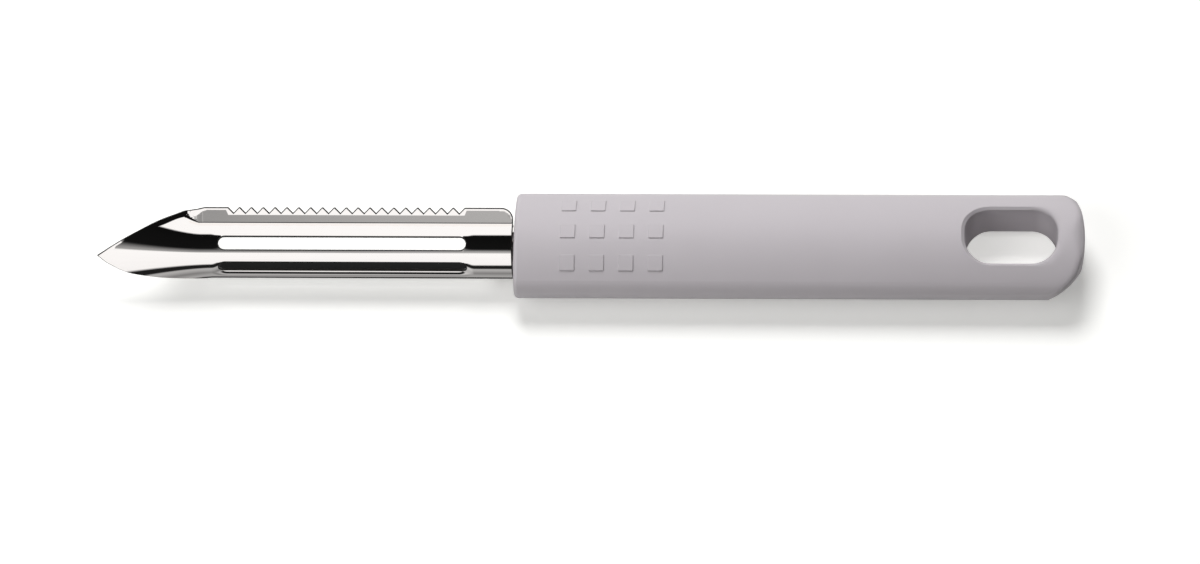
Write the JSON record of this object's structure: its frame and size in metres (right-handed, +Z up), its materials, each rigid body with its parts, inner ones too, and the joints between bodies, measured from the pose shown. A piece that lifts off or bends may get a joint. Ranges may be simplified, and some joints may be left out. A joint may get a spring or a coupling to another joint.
{
  "type": "vegetable peeler",
  "caption": "Straight vegetable peeler: slotted trough blade with a quill point and a saw-toothed flange, swivelling on a pin in an oval moulded handle with a hanging hole.",
  "frame": {"origin": "middle of the whole length and width, on the flat surface that the handle lies on", "axes": "+X from the blade's point to the butt of the handle, +Y across towards the flange side, +Z up from the table through the grip squares"},
  "size_m": [0.19, 0.0218, 0.0122],
  "materials": {
    "handle_plastic": "satin polypropylene, light warm grey",
    "pin_steel": "bright drawn stainless wire, headed",
    "blade_steel": "mirror-polished stainless strip"
  },
  "bodies": {
    "handle": {"handle": "handle_plastic", "pivot_pin": "pin_steel"},
    "blade": {"blade": "blade_steel"}
  },
  "joints": [
    {"name": "blade_swivel", "type": "hinge", "parent": "handle", "child": "blade", "pos_m": [-0.0147, 0, 0.00585], "axis": [-1, 0, 0], "range_deg": [0, 88]}
  ]
}
